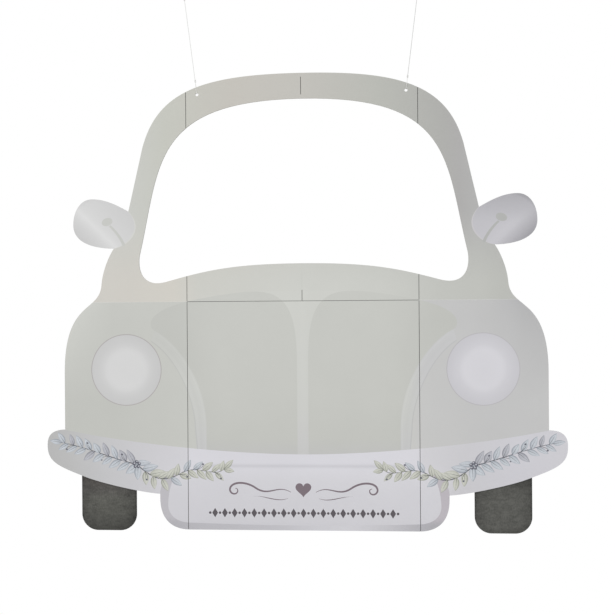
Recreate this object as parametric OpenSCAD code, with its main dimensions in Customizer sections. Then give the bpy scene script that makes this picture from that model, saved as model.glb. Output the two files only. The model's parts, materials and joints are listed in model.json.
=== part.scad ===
// Hanging photo booth frame cut in the shape of a rounded car front.
// Drawing plane: u runs to the viewer's right from the centre line, v runs up from the fold line.
// In space u is X, v is Z and the printed side faces -Y. The origin lies midway between the hanging loops.

/* [Board] */
// Whole thickness of a printed panel
board_t = 3; // [2:0.1:5]
// Thickness of the printed sheet on the front of a panel
face_t = 0.4; // [0.2:0.05:0.8]
// Distance of the upright seams from the centre line
seam_half = 223; // [180:1:260]
// Open width of the upright seams
seam_gap = 1; // [0.4:0.1:1.6]
// Open width of the crease between cowl and bonnet
crease_gap = 0.8; // [0.2:0.05:0.95]
// Open width between pillar panel and wing panel
wing_gap = 0.15; // [0.1:0.05:1]

/* [Roof] */
// Height of the roof's crown above the fold line
roof_h = 436; // [400:1:530]
// How far the roof runs on level from its crown
roof_reach = 185; // [100:1:240]
// Where the roof's outer curve runs into the pillar
pillar_top = [309, 296]; // [240:1:360]
// Pull on the roof's outer curve at the pillar
pillar_pull = [-30, 114]; // [-80:1:200]
// Height of the centre slit in the roof bar
roof_slit_h = 34; // [10:1:38]
// Width of the centre slits
slit_w = 1; // [0.4:0.1:1.6]
// Thickness of board left uncut behind the centre slits
slit_web = 0.6; // [0.3:0.1:1.5]

/* [Windscreen] */
// Height of the opening's crown above the fold line
screen_h = 387; // [340:1:395]
// How far the opening's top edge runs on level
screen_reach = 292; // [240:1:320]
// Lowest point of the opening's side edge
screen_foot = [315, 92]; // [60:1:340]
// Pull on the opening's side edge at its foot
screen_pull = [-41, 172]; // [-80:1:220]
// Where the opening's bottom corner runs into the cowl
screen_heel = [262, 39]; // [25:1:290]
// Pulls on the bottom corner, at the side edge and at the cowl
corner_pulls = [5, -26, 52, -14]; // [-60:1:80]
// Height of the cowl's crown above the fold line
cowl_h = 72; // [50:1:100]
// How far the cowl runs on level from its crown
cowl_reach = 130; // [60:1:170]
// Pull on the cowl's edge at the bottom corner
cowl_pull = [-80, 22]; // [-120:1:60]
// Height of the slit that rises from the cowl's lower edge
cowl_slit_h = 21; // [8:1:40]
// Depth and width of the scored line above the cowl's slit
score = [0.2, 0.6]; // [0.1:0.05:1]

/* [Mirrors] */
// Where the mirror's top edge leaves the pillar
mirror_root = [337, 175]; // [120:1:380]
// Highest point of the mirror
mirror_peak = [409, 200]; // [150:1:450]
// Outermost point of the mirror
mirror_tip = [446, 150]; // [110:1:500]
// Where the mirror's lower edge meets the pillar
mirror_heel = [366, 104]; // [80:1:420]
// Pull on the mirror's top edge at the pillar
mirror_root_pull = [28, 16]; // [0:1:60]
// Level reach of the mirror's peak, inwards and outwards
mirror_peak_reach = [24, 24]; // [5:1:40]
// Upright reach of the mirror's tip, upwards and downwards
mirror_tip_reach = [26, 38]; // [5:1:60]
// Level reach of the mirror's lower edge
mirror_heel_reach = 32; // [5:1:60]

/* [Wings] */
// Narrowest point of the body between mirror and wing
waist = [391, 33]; // [10:1:440]
// Pulls on the hip curve, at the mirror and at the waist
hip_pulls = [10, -14, -2, 27]; // [-40:1:60]
// Pull on the shoulder's curve below the waist
waist_pull = [5, -54]; // [-80:1:30]
// Outermost distance of the wing's flank from the centre line
flank_u = 465; // [430:1:520]
// Depth below the fold line at which the flank becomes upright
flank_v = 137; // [90:1:200]
// Upright reach of the shoulder's curve above that depth
flank_reach = 143; // [60:1:170]

/* [Bumper] */
// Distance of the bumper's end from the centre line
bumper_half = 500; // [480:1:600]
// Depth below the fold line at which the flank meets the bumper
bumper_top = 247; // [220:1:280]
// Depth below the fold line of the bumper end's outermost point
bumper_nose = 278; // [262:1:300]
// Point of the bumper's lower edge where its end rounding is over
bumper_chin = [423, 339.5]; // [320:0.5:450]
// Reaches of the bumper end: level at the flank, up and down at the nose
bumper_reach = [33, 13, 33]; // [5:1:40]
// Pulls on the bumper's lower edge at the chin: outwards, inwards and at the plate
chin_pulls = [55, 21, -28, -10.5, 37, 2]; // [-80:0.5:80]

/* [Plate] */
// Distance of the number plate's side from the centre line
plate_half = 278; // [250:1:300]
// Depth below the fold line at which the bumper's lower edge meets the plate
plate_top = 370.5; // [350:0.5:385]
// Depth below the fold line of the plate's lower edge
plate_bottom = 439; // [420:1:530]
// Width and height of the plate's corner rounding
plate_round = [58, 60]; // [20:1:65]
// Fullness of the plate's corner, level and upright
plate_fullness = [41, 35]; // [20:1:60]

/* [Tyres] */
// Distance of the tyre's middle from the centre line
tyre_mid = 379; // [350:1:400]
// Width of a tyre
tyre_w = 108; // [70:1:135]
// Depth below the fold line of a tyre's lower edge
tyre_bottom = 442; // [420:1:530]
// Rounding of a tyre's lower corners
tyre_round = 32; // [5:1:34]
// Height of the tyre's lap behind the bumper
tyre_lap = 52; // [30:1:70]
// Thickness of a tyre's board
tyre_t = 2; // [1:0.1:3]
// Thickness of the adhesive pads between wing and tyre
pad_t = 0.6; // [0.3:0.1:1.2]
// Width and height of an adhesive pad
pad_size = [36, 20]; // [10:1:40]
// Distance of the pads from the tyre's side and top edges
pad_inset = 7; // [3:1:12]

/* [Tape] */
// Width of the hinge tape that crosses an upright seam on the back
tape_w = 24; // [14:1:36]
// Thickness of the hinge tape, pressed flush into the back
tape_t = 0.3; // [0.15:0.05:0.6]
// Distance of a tape's end from the fold line
tape_inset = 0.5; // [0.4:0.1:5]
// Width left open between the two leaves of a tape at the fold
leaf_gap = 0.1; // [0.05:0.05:0.4]

/* [Cords] */
// Diameter of the hanging cords
cord_d = 1; // [0.6:0.1:2]
// Diameter of the punched holes
hole_d = 6; // [4:0.5:10]
// Distance of a hole's middle from the upright seam beside it
hole_inset = 22; // [14:1:60]
// Distance of a hole's middle from the roof's edge above it
hole_margin = 14.5; // [10:0.5:24]
// Height of the hanging loops above the holes
hang_rise = 206; // [120:1:400]
// How far a hanging loop stands outside its hole
hang_splay = 26; // [-40:1:80]
// Free space between a cord and the board
cord_gap = 0.3; // [0.3:0.05:0.6]
// Height of the lower knot above the roof's edge
knot_rise = 9; // [5:1:20]
// Diameter and length of a knot
knot_size = [3.2, 6]; // [2:0.1:10]
// Width and height of the hanging loop
loop_size = [11, 21]; // [6:1:40]

/* [Hidden] */
board_color = [0.80, 0.79, 0.75];
face_color = [0.77, 0.77, 0.74];
tyre_color = [0.28, 0.28, 0.27];
tape_color = [0.24, 0.24, 0.23];
pad_color = [0.92, 0.92, 0.90];
cord_color = [0.93, 0.93, 0.91];

curve_steps = 32;
tube_sides = 8;
over = 60;
front_y = -board_t / 2;
back_y = board_t / 2;
core_y = front_y + face_t;
seam_in = seam_half - seam_gap / 2;
seam_out = seam_half + seam_gap / 2;
leaf_in = seam_half - leaf_gap / 2;
leaf_out = seam_half + leaf_gap / 2;
leaf_w = tape_w / 2;
cord_r = cord_d / 2;
knot_r = knot_size[0] / 2;
knot_l = knot_size[1];
split_v = (screen_h + cowl_h) / 2;
slit_v = (roof_h + screen_h - roof_slit_h) / 2;
slit_y = back_y - slit_web;
hole_half = seam_half - hole_inset;

// Points of a cubic curve from a to b with the pulls p and q, without its first point
function bend(a, p, q, b) = [
    for (i = [1 : curve_steps])
        let (t = i / curve_steps, s = 1 - t)
        s * s * s * a + 3 * s * s * t * (a + p) + 3 * s * t * t * (b + q) + t * t * t * b
];
function flip(points) = [for (i = [len(points) - 1 : -1 : 0]) [-points[i][0], points[i][1]]];

// Right half of the outer edge, from the crown to the plate's lower edge
roof_crown = [0, roof_h];
flank_top = [flank_u, -flank_v];
flank_foot = [flank_u, -bumper_top];
nose = [bumper_half, -bumper_nose];
chin = [bumper_chin[0], -bumper_chin[1]];
plate_shoulder = [plate_half, -plate_top];
plate_side = [plate_half, plate_round[1] - plate_bottom];
plate_foot = [plate_half - plate_round[0], -plate_bottom];
roof_edge = bend(roof_crown, [roof_reach, 0], pillar_pull, pillar_top);
mirror_edge = concat(
    [mirror_root],
    bend(mirror_root, mirror_root_pull, [-mirror_peak_reach[0], 0], mirror_peak),
    bend(mirror_peak, [mirror_peak_reach[1], 0], [0, mirror_tip_reach[0]], mirror_tip),
    bend(mirror_tip, [0, -mirror_tip_reach[1]], [mirror_heel_reach, 0], mirror_heel)
);
wing_edge = concat(
    bend(mirror_heel, [hip_pulls[0], hip_pulls[1]], [hip_pulls[2], hip_pulls[3]], waist),
    bend(waist, waist_pull, [0, flank_reach], flank_top)
);
bumper_edge = concat(
    [flank_foot],
    bend(flank_foot, [bumper_reach[0], 0], [0, bumper_reach[1]], nose),
    bend(nose, [0, -bumper_reach[2]], [chin_pulls[0], chin_pulls[1]], chin),
    bend(chin, [chin_pulls[2], chin_pulls[3]], [chin_pulls[4], chin_pulls[5]], plate_shoulder)
);
plate_edge = concat(
    [plate_side],
    bend(plate_side, [0, -plate_fullness[1]], [plate_fullness[0], 0], plate_foot)
);
right_edge = concat(roof_edge, mirror_edge, wing_edge, bumper_edge, plate_edge);
outline = concat([roof_crown], right_edge, flip(right_edge));

// Right half of the windscreen opening, from its crown to the cowl's crown
screen_crown = [0, screen_h];
cowl_crown = [0, cowl_h];
screen_side = bend(screen_crown, [screen_reach, 0], screen_pull, screen_foot);
screen_corner = bend(
    screen_foot, [corner_pulls[0], corner_pulls[1]], [corner_pulls[2], corner_pulls[3]], screen_heel
);
cowl_edge = bend(screen_heel, cowl_pull, [cowl_reach, 0], cowl_crown);
screen_half = concat(screen_side, screen_corner, [for (i = [0 : curve_steps - 2]) cowl_edge[i]]);
opening = concat([screen_crown], screen_half, [cowl_crown], flip(screen_half));

// Height of the roof's edge at a distance from the centre line
function roof_at(u) = lookup(u, concat([roof_crown], roof_edge));

// Hanging: a cord runs straight from its hole to its loop
hole_v = roof_at(hole_half) - hole_margin;
hang_v = hole_v + hang_rise;
cord_run = [hang_splay, 0, hang_rise];
cord_len = norm(cord_run);
cord_dir = cord_run / cord_len;
cord_side = [cord_dir[2], 0, -cord_dir[0]];
cord_tilt = atan2(cord_run[0], cord_run[2]);
strand_y = board_t / 2 + cord_r + cord_gap;
hole_s = hole_d / 2 - cord_r - 2 * cord_gap;
lower_knot_s = hole_margin + knot_rise;
upper_knot_s = cord_len - loop_size[1] - knot_l + 2 * cord_d;

// A slab of the drawing between two depths, a box cut from it, and a mirrored copy
module slab(y0, y1) {
    translate([0, y1, -hang_v])
        rotate([90, 0, 0])
            linear_extrude(height = y1 - y0)
                children();
}

module block(u0, u1, v0, v1, y0, y1) {
    translate([u0, y0, v0 - hang_v])
        cube([u1 - u0, y1 - y0, v1 - v0]);
}

module left() {
    mirror([1, 0, 0])
        children();
}

module cut_out(y0, y1, u0, u1, v0, v1) {
    difference() {
        intersection() {
            slab(y0, y1)
                polygon(outline);
            block(u0, u1, v0, v1, y0 - over, y1 + over);
        }
        slab(y0 - over, y1 + over)
            polygon(opening);
    }
}

// Panel shapes between two depths
module roof_shape(y0, y1) {
    difference() {
        cut_out(y0, y1, -seam_in, seam_in, split_v, roof_h + over);
        block(-slit_w / 2, slit_w / 2, slit_v, slit_v + roof_slit_h, y0 - over, slit_y);
        for (side = [-1, 1])
            translate([side * hole_half, y1 + over, hole_v - hang_v])
                rotate([90, 0, 0])
                    cylinder(h = y1 - y0 + 2 * over, d = hole_d);
    }
}

module cowl_shape(y0, y1) {
    difference() {
        cut_out(y0, y1, -seam_in, seam_in, crease_gap / 2, split_v);
        block(-slit_w / 2, slit_w / 2, -over, cowl_slit_h, y0 - over, slit_y);
    }
}

module bonnet_shape(y0, y1) {
    cut_out(y0, y1, -seam_in, seam_in, -plate_bottom - over, -crease_gap / 2);
}

module pillar_shape(y0, y1) {
    cut_out(y0, y1, seam_out, bumper_half + over, wing_gap / 2, roof_h + over);
}

module wing_shape(y0, y1) {
    cut_out(y0, y1, seam_out, bumper_half + over, -plate_bottom - over, -wing_gap / 2);
}

// Heights between which the three tapes on an upright seam lie, trimmed to the panels' edges
roof_tape_v = [split_v, roof_h + over];
cowl_tape_v = [tape_inset, split_v];
wing_tape_v = [-plate_bottom - over, -tape_inset];

module inner_leaf(span) {
    cut_out(back_y - tape_t, back_y, seam_half - leaf_w, leaf_in, span[0], span[1]);
}

module outer_leaf(span) {
    cut_out(back_y - tape_t, back_y, leaf_out, seam_half + leaf_w, span[0], span[1]);
}

// The shallow seats that the tapes lie in
module inner_seat(span) {
    block(seam_half - leaf_w, seam_half, span[0], span[1], back_y - tape_t, back_y + over);
}

module outer_seat(span) {
    block(seam_half, seam_half + leaf_w, span[0], span[1], back_y - tape_t, back_y + over);
}

module both_sides() {
    children();
    left()
        children();
}

// Boards
module roof_board() {
    color(board_color)
        difference() {
            roof_shape(core_y, back_y);
            both_sides()
                inner_seat(roof_tape_v);
        }
}

module cowl_board() {
    color(board_color)
        difference() {
            cowl_shape(core_y, back_y);
            both_sides()
                inner_seat(cowl_tape_v);
        }
}

module bonnet_board() {
    color(board_color)
        difference() {
            bonnet_shape(core_y, back_y);
            both_sides()
                inner_seat(wing_tape_v);
        }
}

module pillar_board() {
    color(board_color)
        difference() {
            pillar_shape(core_y, back_y);
            outer_seat(roof_tape_v);
            outer_seat(cowl_tape_v);
        }
}

module wing_board() {
    color(board_color)
        difference() {
            wing_shape(core_y, back_y);
            outer_seat(wing_tape_v);
        }
}

module left_pillar_board() {
    left()
        pillar_board();
}

module right_pillar_board() {
    pillar_board();
}

module left_wing_board() {
    left()
        wing_board();
}

module right_wing_board() {
    wing_board();
}

// Printed sheets
module roof_print() {
    color(face_color)
        roof_shape(front_y, core_y);
}

module cowl_print() {
    color(face_color)
        difference() {
            cowl_shape(front_y, core_y);
            block(
                -score[1] / 2, score[1] / 2, cowl_slit_h, cowl_h + over,
                front_y - over, front_y + score[0]
            );
        }
}

module bonnet_print() {
    color(face_color)
        bonnet_shape(front_y, core_y);
}

module left_pillar_print() {
    color(face_color)
        left()
            pillar_shape(front_y, core_y);
}

module right_pillar_print() {
    color(face_color)
        pillar_shape(front_y, core_y);
}

module left_wing_print() {
    color(face_color)
        left()
            wing_shape(front_y, core_y);
}

module right_wing_print() {
    color(face_color)
        wing_shape(front_y, core_y);
}

// Tyres, lapped behind the bumper on adhesive pads
tyre_in = tyre_mid - tyre_w / 2;
tyre_out = tyre_mid + tyre_w / 2;
tyre_top = tyre_lap - bumper_chin[1];
tyre_y = back_y + pad_t;
pad_top = tyre_top - pad_inset;

module tyre_board() {
    color(tyre_color)
        union() {
            block(tyre_in, tyre_out, tyre_round - tyre_bottom, tyre_top, tyre_y, tyre_y + tyre_t);
            block(
                tyre_in + tyre_round, tyre_out - tyre_round,
                -tyre_bottom, tyre_top, tyre_y, tyre_y + tyre_t
            );
            for (u = [tyre_in + tyre_round, tyre_out - tyre_round])
                translate([u, tyre_y + tyre_t, tyre_round - tyre_bottom - hang_v])
                    rotate([90, 0, 0])
                        cylinder(h = tyre_t, r = tyre_round);
        }
}

module tyre_pads() {
    color(pad_color)
        for (u = [tyre_in + pad_inset, tyre_out - pad_inset - pad_size[0]])
            block(u, u + pad_size[0], pad_top - pad_size[1], pad_top, back_y, tyre_y);
}

module left_tyre() {
    left()
        tyre_board();
}

module right_tyre() {
    tyre_board();
}

module left_tyre_pads() {
    left()
        tyre_pads();
}

module right_tyre_pads() {
    tyre_pads();
}

// Hinge tapes, one leaf on each side of the fold
module left_roof_tape() {
    color(tape_color)
        left()
            inner_leaf(roof_tape_v);
}

module right_roof_tape() {
    color(tape_color)
        inner_leaf(roof_tape_v);
}

module left_cowl_tape() {
    color(tape_color)
        left()
            inner_leaf(cowl_tape_v);
}

module right_cowl_tape() {
    color(tape_color)
        inner_leaf(cowl_tape_v);
}

module left_bonnet_tape() {
    color(tape_color)
        left()
            inner_leaf(wing_tape_v);
}

module right_bonnet_tape() {
    color(tape_color)
        inner_leaf(wing_tape_v);
}

module pillar_tapes() {
    color(tape_color) {
        outer_leaf(roof_tape_v);
        outer_leaf(cowl_tape_v);
    }
}

module left_pillar_tapes() {
    left()
        pillar_tapes();
}

module right_pillar_tapes() {
    pillar_tapes();
}

module left_wing_tape() {
    color(tape_color)
        left()
            outer_leaf(wing_tape_v);
}

module right_wing_tape() {
    color(tape_color)
        outer_leaf(wing_tape_v);
}

// Cords: points at a distance s from the hole, swept along a path that lies in one plane
function on_cord(s, x, y) = [hole_half, y, -hang_rise] + s * cord_dir + x * cord_side;
function heading(path, i) = path[min(i + 1, len(path) - 1)] - path[max(i - 1, 0)];
function ring(path, i, normal) =
    let (along = heading(path, i), across = cross(along / norm(along), normal))
    [
        for (k = [0 : tube_sides - 1])
            let (a = 360 * k / tube_sides)
            path[i] + cord_r * (cos(a) * across + sin(a) * normal)
    ];

module tube(path, normal) {
    n = tube_sides;
    last = len(path) - 1;
    points = [for (i = [0 : last]) each ring(path, i, normal)];
    walls = [
        for (i = [0 : last - 1])
            for (k = [0 : n - 1])
                let (m = (k + 1) % n)
                [i * n + k, i * n + m, (i + 1) * n + m, (i + 1) * n + k]
    ];
    start = [for (k = [n - 1 : -1 : 0]) k];
    end = [for (k = [0 : n - 1]) last * n + k];
    polyhedron(points = points, faces = concat([start], walls, [end]), convexity = 6);
}

module on_run(s) {
    translate(on_cord(s, 0, 0))
        rotate([0, cord_tilt, 0])
            children();
}

// Loop through the hole: down the front, through, and up the back to the knot
hitch_front = [
    on_cord(lower_knot_s + cord_d, 0, -cord_r),
    on_cord(lower_knot_s, 0, -cord_r),
    on_cord(hole_margin + cord_d, 0, -strand_y),
    on_cord(hole_margin / 2, 0, -strand_y),
    on_cord(hole_d / 2, 0, -strand_y),
    on_cord(hole_s + cord_gap, 0, -back_y - cord_gap),
    on_cord(hole_s, 0, -back_y / 2)
];
hitch_path = concat(
    hitch_front,
    [for (i = [len(hitch_front) - 1 : -1 : 0]) [hitch_front[i][0], -hitch_front[i][1], hitch_front[i][2]]]
);

module hitch() {
    color(cord_color)
        union() {
            tube(hitch_path, cord_side);
            on_run(lower_knot_s)
                cylinder(h = knot_l, r = knot_r);
        }
}

module cord() {
    color(cord_color)
        on_run(lower_knot_s + knot_l)
            cylinder(h = upper_knot_s - lower_knot_s - knot_l, r = cord_r);
}

// Drop-shaped hanging loop, its top at the loop's hanging point
loop_foot = upper_knot_s + knot_l;
loop_h = loop_size[1] - cord_d;
loop_r = loop_size[0] / 2 - cord_r;
loop_steps = 16;
loop_fullness = 1.3;
loop_path = [
    for (i = [0 : loop_steps])
        let (a = 360 * i / loop_steps, rise = (1 - cos(a)) / 2)
        let (wide = loop_fullness * loop_r * sin(a) * sqrt(rise))
        on_cord(loop_foot - cord_r + loop_h * rise, wide + cord_r * cos(a / 2), 0)
];

module hang_loop() {
    color(cord_color)
        union() {
            tube(loop_path, [0, 1, 0]);
            on_run(upper_knot_s)
                cylinder(h = knot_l, r = knot_r);
        }
}

module left_cord() {
    left()
        cord();
}

module right_cord() {
    cord();
}

module left_hitch() {
    left()
        hitch();
}

module right_hitch() {
    hitch();
}

module left_hang_loop() {
    left()
        hang_loop();
}

module right_hang_loop() {
    hang_loop();
}

roof_board();
cowl_board();
bonnet_board();
left_pillar_board();
right_pillar_board();
left_wing_board();
right_wing_board();
roof_print();
cowl_print();
bonnet_print();
left_pillar_print();
right_pillar_print();
left_wing_print();
right_wing_print();
left_tyre();
right_tyre();
left_tyre_pads();
right_tyre_pads();
left_roof_tape();
right_roof_tape();
left_cowl_tape();
right_cowl_tape();
left_bonnet_tape();
right_bonnet_tape();
left_pillar_tapes();
right_pillar_tapes();
left_wing_tape();
right_wing_tape();
left_cord();
right_cord();
left_hitch();
right_hitch();
left_hang_loop();
right_hang_loop();
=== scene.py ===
"""Looks of a hanging photo booth frame: a flat, folding, printed cut-out of a rounded car front."""
import collections
import json
import math
import random

import bpy
from mathutils import Matrix, Vector
from mathutils.geometry import delaunay_2d_cdt


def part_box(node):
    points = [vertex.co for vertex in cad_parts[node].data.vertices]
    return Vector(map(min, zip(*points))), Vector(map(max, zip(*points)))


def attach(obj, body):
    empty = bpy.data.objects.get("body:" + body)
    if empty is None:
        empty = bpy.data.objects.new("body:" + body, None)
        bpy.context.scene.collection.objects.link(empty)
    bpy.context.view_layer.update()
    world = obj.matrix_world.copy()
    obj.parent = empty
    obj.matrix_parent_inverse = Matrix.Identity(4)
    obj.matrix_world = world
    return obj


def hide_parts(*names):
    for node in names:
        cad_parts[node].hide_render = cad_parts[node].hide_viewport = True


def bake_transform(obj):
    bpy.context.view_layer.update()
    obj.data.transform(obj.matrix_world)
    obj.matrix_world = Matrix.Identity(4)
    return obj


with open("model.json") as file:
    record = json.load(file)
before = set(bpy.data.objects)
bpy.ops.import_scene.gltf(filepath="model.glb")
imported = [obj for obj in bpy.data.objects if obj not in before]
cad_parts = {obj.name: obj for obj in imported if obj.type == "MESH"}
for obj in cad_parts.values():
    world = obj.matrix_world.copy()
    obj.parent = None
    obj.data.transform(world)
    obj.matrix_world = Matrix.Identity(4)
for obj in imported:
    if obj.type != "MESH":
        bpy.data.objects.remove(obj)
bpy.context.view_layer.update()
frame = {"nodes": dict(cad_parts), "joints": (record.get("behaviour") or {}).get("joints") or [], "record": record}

# The drawing plane: u runs right and v up from the fold line, both in millimetres
MM = 0.001
TOUCH = 1e-6
SIDES = {"left": -1, "right": 1}
bodies = frame["record"]["behaviour"]["bodies"]
body_of_node = {node: body for body, nodes in bodies.items() for node in nodes}
joint_spot = {joint["name"]: joint["pos_m"] for joint in frame["joints"]}
FOLD_Z = joint_spot["bonnet_fold"][2]
SEAM = joint_spot["right_wing_fold"][0] / MM
FRONT_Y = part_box("bonnet_print")[0].y
CORE_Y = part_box("bonnet_print")[1].y
BACK_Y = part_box("bonnet_board")[1].y


def at(u, v, y=FRONT_Y):
    """Point of the drawing in the row frame, in metres."""
    return Vector((u * MM, y, FOLD_Z + v * MM))


def ink(red, green, blue):
    """A colour of 0 to 255 per channel as the shader's linear colour."""
    def linear(level):
        share = level / 255
        return share / 12.92 if share <= 0.04045 else ((share + 0.055) / 1.055) ** 2.4

    return linear(red), linear(green), linear(blue), 1.0


def placed(name, data):
    """A new object in the scene."""
    made = bpy.data.objects.new(name, data)
    bpy.context.scene.collection.objects.link(made)
    return made


# Camera
LENS = 85
EYE_DISTANCE = 2.776
EYE_YAW = math.radians(5.89)
EYE_PITCH = math.radians(0.01)
EYE_ROLL = math.radians(-0.4)
AIM = (10.2, -12.75)


def make_camera():
    data = bpy.data.cameras.new("camera")
    data.lens = LENS
    camera = placed("camera", data)
    back = Matrix.Rotation(EYE_YAW, 3, "Z") @ Vector((0, -math.cos(EYE_PITCH), math.sin(EYE_PITCH)))
    turn = back.to_track_quat("Z", "Y").to_matrix().to_4x4()
    spot = Matrix.Translation(at(*AIM, y=0) + back * EYE_DISTANCE)
    camera.matrix_world = spot @ turn @ Matrix.Rotation(EYE_ROLL, 4, "Z")
    bpy.context.scene.camera = camera


# Light: a white room that gives part of the light, and three large soft lamps
AMBIENT = 0.62
LAMPS = [
    ("key", (-1.7, -2.7, 0.6), 2.2, 34),
    ("fill", (2.2, -2.5, -0.2), 2.4, 17),
    ("rear", (0.6, 2.8, 0.7), 2.4, 45),
]
FLOOR_Z = -2.0
FLOOR_R = 3.3
FLOOR_FADE = 0.45
FLOOR_SIDES = 96


def make_world():
    """White for what the camera or a mirror sees, dimmer as a lamp."""
    world = bpy.data.worlds.new("studio")
    world.use_nodes = True
    bpy.context.scene.world = world
    nodes, links = world.node_tree.nodes, world.node_tree.links
    ray = nodes.new("ShaderNodeLightPath")
    seen = ray.outputs["Is Camera Ray"]
    for kind in ("Is Glossy Ray", "Is Transmission Ray"):
        either = nodes.new("ShaderNodeMath")
        either.operation = "MAXIMUM"
        links.new(seen, either.inputs[0])
        links.new(ray.outputs[kind], either.inputs[1])
        seen = either.outputs[0]
    level = nodes.new("ShaderNodeMapRange")
    level.inputs["To Min"].default_value = AMBIENT
    links.new(seen, level.inputs["Value"])
    background = nodes["Background"]
    background.inputs["Color"].default_value = (1, 1, 1, 1)
    links.new(level.outputs["Result"], background.inputs["Strength"])


def make_lamps():
    aim = at(0, 0, 0)
    for name, spot, size, power in LAMPS:
        data = bpy.data.lights.new(name, "AREA")
        data.size = size
        data.energy = power
        lamp = placed(name, data)
        lamp.location = spot
        lamp.rotation_euler = (aim - lamp.location).to_track_quat("-Z", "Y").to_euler()


# Materials; a tint is what it adds to red, green and blue
MIDDLE_FADE = 8
NEUTRAL = (0, 0, 0)
LAVENDER = (0, -1, 4)
RUBBER = (0, 0, -4)


class Paint:
    """A new material with short calls for its shader nodes; u and v are the drawing's millimetres."""

    def __init__(self, name):
        self.material = bpy.data.materials.new(name)
        self.material.use_nodes = True
        self.tree = self.material.node_tree
        self.shader = self.tree.nodes["Principled BSDF"]
        self.place = self.node("ShaderNodeTexCoord").outputs["Object"]
        parts = self.node("ShaderNodeSeparateXYZ", {"Vector": self.place}).outputs
        self.u = self.math("DIVIDE", parts["X"], MM)
        self.y = self.math("DIVIDE", parts["Y"], MM)
        self.v = self.math("DIVIDE", self.math("SUBTRACT", parts["Z"], FOLD_Z), MM)
        self.out = self.math("ABSOLUTE", self.u)

    def feed(self, socket, value):
        if isinstance(value, bpy.types.NodeSocket):
            self.tree.links.new(value, socket)
        else:
            socket.default_value = value

    def node(self, kind, inputs=(), **settings):
        made = self.tree.nodes.new(kind)
        for key, value in settings.items():
            setattr(made, key, value)
        for key, value in dict(inputs).items():
            self.feed(made.inputs[key], value)
        return made

    def math(self, operation, first, second=0.0):
        return self.node("ShaderNodeMath", {0: first, 1: second}, operation=operation).outputs[0]

    def times(self, first, second):
        return self.math("MULTIPLY", first, second)

    def total(self, start, *terms):
        """start plus each (factor, value)."""
        for factor, value in terms:
            start = self.math("ADD", start, self.times(value, factor))
        return start

    def share(self, value, low, high, kind="LINEAR"):
        """0 to 1 as value goes from low to high."""
        limits = {"Value": value, "From Min": low, "From Max": high}
        return self.node("ShaderNodeMapRange", limits, interpolation_type=kind).outputs[0]

    def step(self, value, low, high):
        """Smooth 0 to 1 as value goes from low to high."""
        return self.share(value, low, high, "SMOOTHSTEP")

    def away(self, value, middle, width):
        """How many widths a value lies above the middle."""
        return self.math("DIVIDE", self.math("SUBTRACT", value, middle), width)

    def ridge(self, value, middle, width):
        """A soft line: 1 at middle, and close to 0 from twice width on."""
        away = self.away(value, middle, width)
        return self.math("EXPONENT", self.times(self.times(away, away), -1.0))

    def wave(self, value, length):
        """A sine over a value, with length from crest to crest."""
        return self.math("SINE", self.times(value, 2 * math.pi / length))

    def far(self, spot, half):
        """Square of the distance from a spot that is mirrored on both sides, 1 on an oval of half sizes."""
        across = self.away(self.out, spot[0], half[0])
        up = self.away(self.v, spot[1], half[1])
        return self.math("ADD", self.times(across, across), self.times(up, up))

    def noise(self, grain, detail=2.0, stretch=(1, 1, 1)):
        """Cloudy values from about -0.5 to 0.5, grain millimetres across."""
        place = self.node("ShaderNodeMapping", {"Vector": self.place, "Scale": stretch}).outputs[0]
        inputs = {"Vector": place, "Scale": 1 / (grain * MM), "Detail": detail}
        return self.math("SUBTRACT", self.node("ShaderNodeTexNoise", inputs).outputs[0], 0.5)

    def ramp(self, value, *stops):
        """Colour along a value; each stop is (value, red, green, blue), lowest first."""
        low, high = stops[0][0], stops[-1][0]
        made = self.node("ShaderNodeValToRGB", {"Fac": self.share(value, low, high)})
        marks = made.color_ramp.elements
        for number, (spot, *levels) in enumerate(stops):
            position = (spot - low) / (high - low)
            mark = marks[number] if number < len(marks) else marks.new(position)
            mark.position = position
            mark.color = ink(*levels)
        return made.outputs["Color"]

    def tones(self, value, tint, *stops):
        """A ramp in one tint; each stop is (value, level), lowest first."""
        return self.ramp(value, *((spot, *(level + shift for shift in tint)) for spot, level in stops))

    def mix(self, share, first, second):
        made = self.node("ShaderNodeMix", {0: share, 6: first, 7: second}, data_type="RGBA")
        return made.outputs[2]

    def right(self):
        """0 on the left half of the drawing and 1 on the right."""
        return self.step(self.u, -MIDDLE_FADE, MIDDLE_FADE)

    def sided(self, left, right):
        """One colour on each side of the middle."""
        return self.mix(self.right(), left, right)

    def scaled(self, colour, factor):
        plain = colour if isinstance(colour, bpy.types.NodeSocket) else colour[:3]
        inputs = {0: plain, "Scale": factor}
        return self.node("ShaderNodeVectorMath", inputs, operation="SCALE").outputs["Vector"]

    def finish(self, colour, rough, height=None, depth=0.0, specular=0.35):
        """Joins colour, roughness and relief, depth in millimetres, to the shader."""
        inputs = self.shader.inputs
        self.feed(inputs["Base Color"], colour)
        self.feed(inputs["Roughness"], rough)
        inputs["Specular IOR Level"].default_value = specular
        if height is not None:
            bump = self.node("ShaderNodeBump", {"Height": height, "Distance": depth * MM})
            self.feed(inputs["Normal"], bump.outputs["Normal"])
        return self.material


def printed(paint, colour):
    """Ink on coated card: a clouded wash, fine speckle, paper fibres and a dull sheen."""
    cloud = paint.noise(60, 4)
    speckle = paint.noise(1.0, 2)
    fibre = paint.noise(0.6, 3, (1, 1, 0.3))
    shade = paint.total(1.0, (0.045, cloud), (0.05, speckle))
    rough = paint.total(0.56, (0.2, speckle), (0.1, cloud))
    return paint.finish(paint.scaled(colour, shade), rough, fibre, 0.025)


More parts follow.
